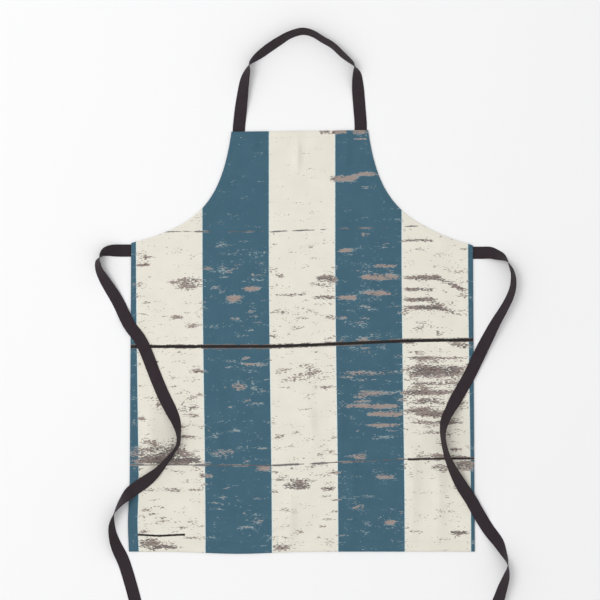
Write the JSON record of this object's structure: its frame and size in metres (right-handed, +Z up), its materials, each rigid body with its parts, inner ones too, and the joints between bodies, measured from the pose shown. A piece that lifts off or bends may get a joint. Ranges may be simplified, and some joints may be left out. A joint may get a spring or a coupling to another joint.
{
  "type": "butcher apron",
  "caption": "Bib apron of printed cloth with turned hems, a sewn-on neck strap and long waist ties, laid out flat and face up.",
  "frame": {"origin": "on the surface the apron lies on, under the middle of the panel and neck loop together, without the waist ties", "axes": "+Z up from the surface, out of the printed face; +Y from the skirt's bottom edge towards the bib; +X to the right of someone who looks at the printed face"},
  "size_m": [0.8548, 1.3218, 0.0287],
  "materials": {
    "printed_cloth": "smooth woven polyester printed with wide blue and cream stripes and a worn plank pattern, with a plain white back",
    "tape": "dark brown woven tape",
    "thread": "off-white sewing thread"
  },
  "bodies": {
    "panel": {"apron_panel": "printed_cloth", "bib_hem": "printed_cloth", "skirt_hem": "printed_cloth", "side_hem_left": "printed_cloth", "side_hem_right": "printed_cloth", "armhole_hem_left": "printed_cloth", "armhole_hem_right": "printed_cloth", "neck_strap_end_left": "tape", "neck_strap_end_right": "tape", "waist_tie_left_root": "tape", "waist_tie_right_root": "tape", "bib_hem_stitch": "thread", "skirt_hem_stitch": "thread", "side_hem_stitch_left": "thread", "side_hem_stitch_right": "thread", "armhole_stitch_left": "thread", "armhole_stitch_right": "thread", "neck_strap_tack_left": "thread", "neck_strap_tack_right": "thread", "waist_tie_left_tack": "thread", "waist_tie_right_tack": "thread"},
    "neck_loop": {"neck_strap": "tape"},
    "left_tie": {"waist_tie_left": "tape", "waist_tie_left_end_hem": "tape"},
    "right_tie": {"waist_tie_right": "tape", "waist_tie_right_end_hem": "tape"}
  },
  "joints": [
    {"name": "neck_loop_fold", "type": "hinge", "parent": "panel", "child": "neck_loop", "pos_m": [-0.0046, 0.3229, 0.0036], "axis": [1, 0, 0], "range_deg": [0, 150]},
    {"name": "waist_tie_left_lift", "type": "hinge", "parent": "panel", "child": "left_tie", "pos_m": [-0.3814, 0.067, 0.0125], "axis": [-1, 0, 0], "range_deg": [0, 120]},
    {"name": "waist_tie_right_lift", "type": "hinge", "parent": "panel", "child": "right_tie", "pos_m": [0.3814, 0.0495, 0.0125], "axis": [-1, 0, 0], "range_deg": [0, 120]}
  ]
}
